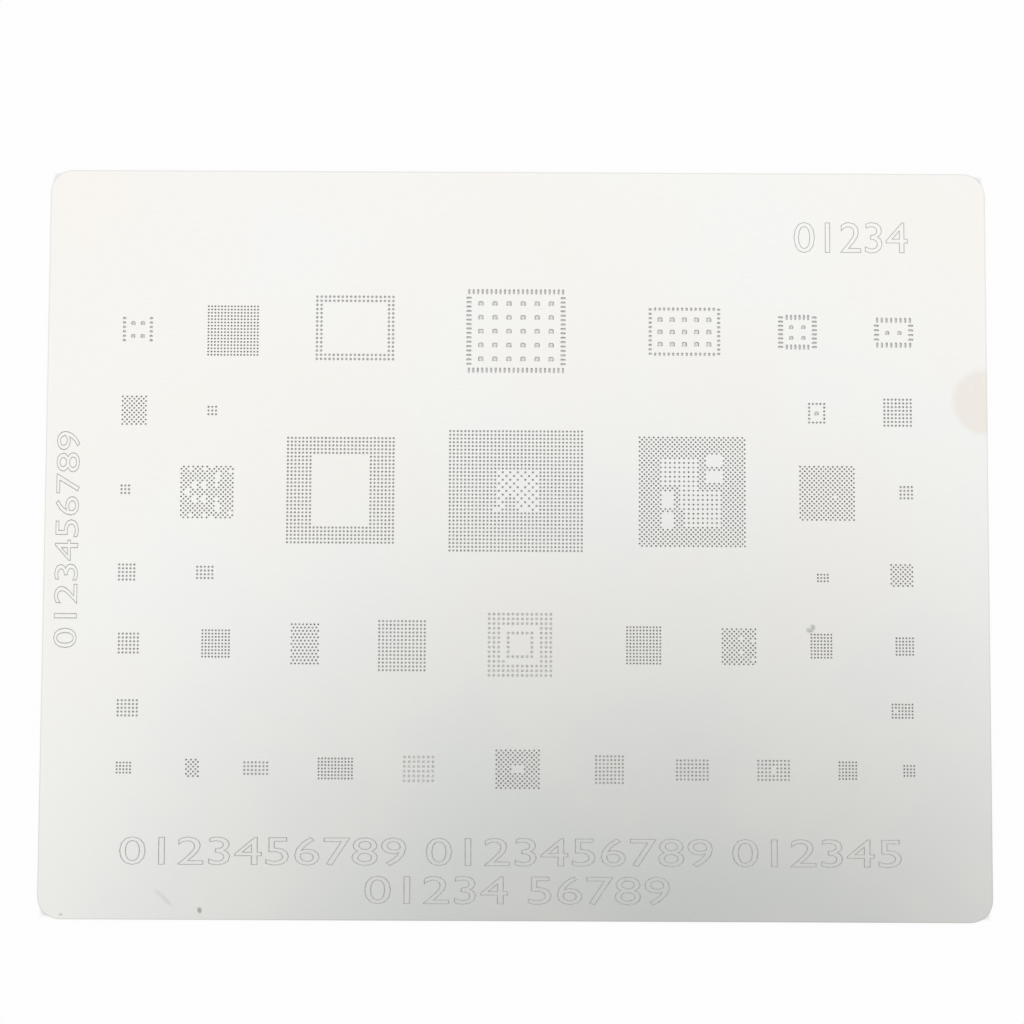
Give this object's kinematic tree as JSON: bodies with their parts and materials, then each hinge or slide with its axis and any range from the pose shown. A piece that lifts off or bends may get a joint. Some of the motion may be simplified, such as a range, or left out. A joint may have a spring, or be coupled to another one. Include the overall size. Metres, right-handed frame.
{
  "type": "solder paste stencil",
  "caption": "Thin flat steel stencil with rounded corners and many fields of fine round apertures, slots and square windows for printing solder paste.",
  "frame": {"origin": "centre of the sheet's underside, on the surface it lies on", "axes": "+X along the long side, +Y towards the edge beyond the first row of fields, +Z out of the working face"},
  "size_m": [0.1, 0.08, 0.0001],
  "materials": {
    "sheet_steel": "fine satin stainless steel sheet, thin enough to flex, with clean cut apertures"
  },
  "bodies": {
    "root": {"stencil_sheet": "sheet_steel"}
  },
  "joints": []
}
